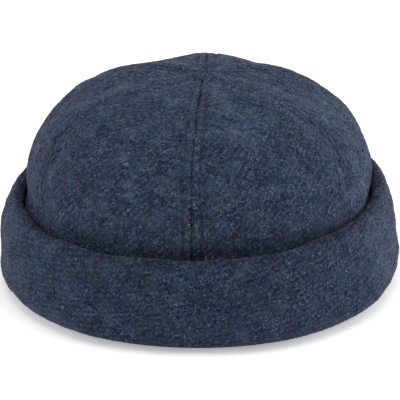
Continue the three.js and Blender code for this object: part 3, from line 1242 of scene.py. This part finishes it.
def tuft_material(name):
    return Shader("tuft_" + name).finish(
        Base_Color=rgba(name),
        Roughness=0.9,
        Specular_IOR_Level=0.08,
        Sheen_Weight=0.4,
        Sheen_Roughness=0.3,
        Sheen_Tint=(0.60, 0.64, 0.76, 1),
    )


def thread_material():
    thread = Shader("thread")
    place = thread.node("ShaderNodeTexCoord", output="Object")
    where = {"Vector": place, "Scale": 1 / (PLY * MM), "Detail": 1.0}
    plies = thread.node("ShaderNodeTexNoise", {}, where, "Fac")
    raised = {"Strength": 0.4, "Distance": PLY_BUMP, "Height": plies}
    return thread.finish(
        Base_Color=thread.ramp(plies, THREAD_STOPS),
        Roughness=0.5 + 0.2 * plies,
        Specular_IOR_Level=0.3,
        Sheen_Weight=0.15,
        Normal=thread.node("ShaderNodeBump", {}, raised, "Normal"),
    )


tuft_wools = [tuft_material(name) for name in TONES]
thread_finish = thread_material()
print("finishes:", len(bpy.data.materials))

# %% [markdown]
# Each piece rides on the cap's one body. The sheets of cloth take their finish from the crown's slot
# or the cuff's, and the thread and the tufts have finishes of their own. The seven sheets of cloth
# stand for the seven solids.

# %% Pieces take their places
def place_piece(piece, finishes, node=None):
    for finish in finishes:
        piece.data.materials.append(finish)
    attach(piece, "root")
    if node:
        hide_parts(node)


for piece, node in zip(gore_pieces, GORES):
    place_piece(piece, [crown_wool], node)
place_piece(cuff_piece, [cuff_wool], "cuff")
for piece in thread_pieces:
    place_piece(piece, [thread_finish])
for piece in nap_pieces:
    place_piece(piece, tuft_wools)

# %% [markdown]
# The photograph is a plain studio view: the camera stands a little above the cap and a few degrees to
# its left, a long way off, so the lines hardly converge. Its place comes from two angles and a
# distance, so that it can be set by what the picture shows.

# %% Camera
CAMERA_TURN = math.radians(3.05)
CAMERA_RISE = math.radians(19)
CAMERA_DISTANCE = 1.3
CAMERA_LENS = 253.9
SENSOR_WIDTH = 36
LOOK_AT = Vector((0, 0, 0.050))
FRAME_DROP = 0.0162  # the cap's middle sits above the middle of the picture


def aimed(thing, position, target):
    thing.location = position
    thing.rotation_euler = (Vector(target) - Vector(position)).to_track_quat("-Z", "Y").to_euler()
    bpy.context.scene.collection.objects.link(thing)
    return thing


back = Vector((
    math.sin(CAMERA_TURN) * math.cos(CAMERA_RISE),
    -math.cos(CAMERA_TURN) * math.cos(CAMERA_RISE),
    math.sin(CAMERA_RISE),
))
up = Vector((
    -math.sin(CAMERA_TURN) * math.sin(CAMERA_RISE),
    math.cos(CAMERA_TURN) * math.sin(CAMERA_RISE),
    math.cos(CAMERA_RISE),
))
lens = bpy.data.cameras.new("camera")
lens.lens = CAMERA_LENS
lens.sensor_width = SENSOR_WIDTH
camera = bpy.data.objects.new("camera", lens)
aimed(camera, LOOK_AT + back * CAMERA_DISTANCE, LOOK_AT - up * FRAME_DROP)
bpy.context.scene.camera = camera
print("camera at", [round(c, 3) for c in camera.location])

# %% [markdown]
# Large soft lights stand at both sides, behind and overhead, and none in front. That leaves the front
# in quiet shade and draws a pale line round the edge of the crown. The one behind on the right is
# the strongest, because the right edge is the palest in the photograph.

# %% Lights
LIT_PLACE = (0, 0, 0.05)
# Each light: where it stands, its width and height in metres, and its power in watts.
SOFT_LIGHTS = {
    "left_light": ((-1.6, -0.35, 0.8), (1.2, 1.2), 12),
    "right_light": ((1.6, -0.35, 0.8), (1.2, 1.2), 14),
    "left_back_light": ((-1.5, 1.3, 0.7), (1.4, 1.2), 11),
    "right_back_light": ((1.5, 1.3, 0.7), (1.4, 1.2), 23),
    "top_light": ((0, 0.1, 1.8), (1.6, 1.2), 19),
}
for name, (position, size, power) in SOFT_LIGHTS.items():
    lamp = bpy.data.lights.new(name, "AREA")
    lamp.shape = "RECTANGLE"
    lamp.size, lamp.size_y = size
    lamp.energy = power
    aimed(bpy.data.objects.new(name, lamp), position, LIT_PLACE)
print("lights:", len(SOFT_LIGHTS))

# %% [markdown]
# The cap rests on a pale floor. It glows a little, so that it comes out as white as the photograph's
# ground while the cap's soft shadow still shows, and an even, weak light comes from all round.

# %% Floor and surroundings
FLOOR = 6  # half its width, in metres
FLOOR_GLOW = 0.34
STUDIO_LIGHT = 0.165
WHITE = (1, 1, 1, 1)

corners = [(-FLOOR, -FLOOR, 0), (FLOOR, -FLOOR, 0), (FLOOR, FLOOR, 0), (-FLOOR, FLOOR, 0)]
floor_mesh = bpy.data.meshes.new("floor")
floor_mesh.from_pydata(corners, [], [(0, 1, 2, 3)])
floor = bpy.data.objects.new("floor", floor_mesh)
bpy.context.scene.collection.objects.link(floor)
floor_mesh.materials.append(Shader("pale_floor").finish(
    Base_Color=(0.85, 0.85, 0.85, 1),
    Roughness=0.8,
    Specular_IOR_Level=0.1,
    Emission_Color=WHITE,
    Emission_Strength=FLOOR_GLOW,
))

world = bpy.data.worlds.new("studio")
world.use_nodes = True
surroundings = world.node_tree.nodes["Background"].inputs
surroundings["Color"].default_value = WHITE
surroundings["Strength"].default_value = STUDIO_LIGHT
bpy.context.scene.world = world
bpy.context.scene.view_settings.view_transform = "Standard"
